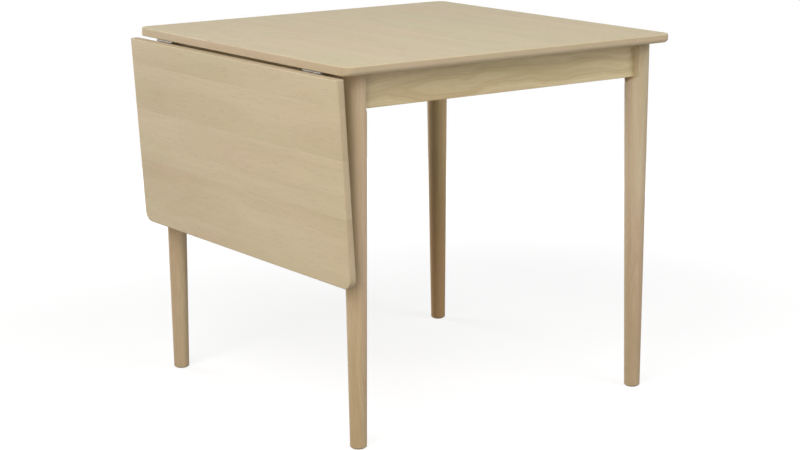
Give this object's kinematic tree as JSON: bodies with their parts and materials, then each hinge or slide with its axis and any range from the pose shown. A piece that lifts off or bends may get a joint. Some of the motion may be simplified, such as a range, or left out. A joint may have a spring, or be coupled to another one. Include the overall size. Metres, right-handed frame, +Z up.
{
  "type": "drop-leaf dining table",
  "caption": "Square dining table in pale oak on round tapered legs, with a drop leaf hinged along one side and pull-out steel bars that carry the leaf when it is raised.",
  "frame": {"origin": "on the floor, under the middle of the table's outline with its leaf hanging", "axes": "+X from the hanging leaf towards the far side, +Y along the hinge line, +Z up"},
  "size_m": [0.8193, 0.8, 0.75],
  "materials": {
    "white_oiled_oak": "matt white oil on oak",
    "beech": "sawn and bare",
    "hinge_steel": "nickel-plated steel",
    "bar_steel": "zinc-plated flat steel",
    "pressed_steel": "zinc-plated sheet",
    "zinc_fasteners": "bright zinc",
    "glide_plastic": "moulded nylon"
  },
  "bodies": {
    "frame": {"apron_back": "white_oiled_oak", "apron_far_side": "white_oiled_oak", "apron_front": "white_oiled_oak", "apron_leaf_side": "white_oiled_oak", "bar_end_block_back": "beech", "bar_end_block_front": "beech", "bar_guide_back_first": "pressed_steel", "bar_guide_back_second": "pressed_steel", "bar_guide_front_first": "pressed_steel", "bar_guide_front_second": "pressed_steel", "bolt_nuts": "zinc_fasteners", "bolt_washers": "zinc_fasteners", "bracket_screws": "zinc_fasteners", "corner_block_back_far": "beech", "corner_block_back_leaf": "beech", "corner_block_front_far": "beech", "corner_block_front_leaf": "beech", "corner_block_screws": "zinc_fasteners", "end_block_screws": "zinc_fasteners", "glide_back_far": "glide_plastic", "glide_back_leaf": "glide_plastic", "glide_front_far": "glide_plastic", "glide_front_leaf": "glide_plastic", "guide_screws": "zinc_fasteners", "hanger_bolts": "zinc_fasteners", "hinge_back_pin": "hinge_steel", "hinge_back_top_plate": "hinge_steel", "hinge_front_pin": "hinge_steel", "hinge_front_top_plate": "hinge_steel", "hinge_screws_top": "zinc_fasteners", "leg_back_far": "white_oiled_oak", "leg_back_leaf": "white_oiled_oak", "leg_front_far": "white_oiled_oak", "leg_front_leaf": "white_oiled_oak", "table_top": "white_oiled_oak", "top_brackets": "pressed_steel"},
    "leaf": {"drop_leaf": "white_oiled_oak", "hinge_back_leaf_plate": "hinge_steel", "hinge_front_leaf_plate": "hinge_steel", "hinge_screws_leaf": "zinc_fasteners"},
    "bar_front": {"support_bar_front": "bar_steel", "bar_stop_pin_front": "bar_steel"},
    "bar_back": {"support_bar_back": "bar_steel", "bar_stop_pin_back": "bar_steel"}
  },
  "joints": [
    {"name": "leaf_fold", "type": "hinge", "parent": "frame", "child": "leaf", "pos_m": [-0.38925, 0, 0.7295], "axis": [0, 1, 0], "range_deg": [-1, 93.27]},
    {"name": "bar_front_slide", "type": "slide", "parent": "frame", "child": "bar_front", "axis": [-1, 0, 0], "range_m": [0, 0.25]},
    {"name": "bar_back_slide", "type": "slide", "parent": "frame", "child": "bar_back", "axis": [-1, 0, 0], "range_m": [0, 0.25]}
  ]
}
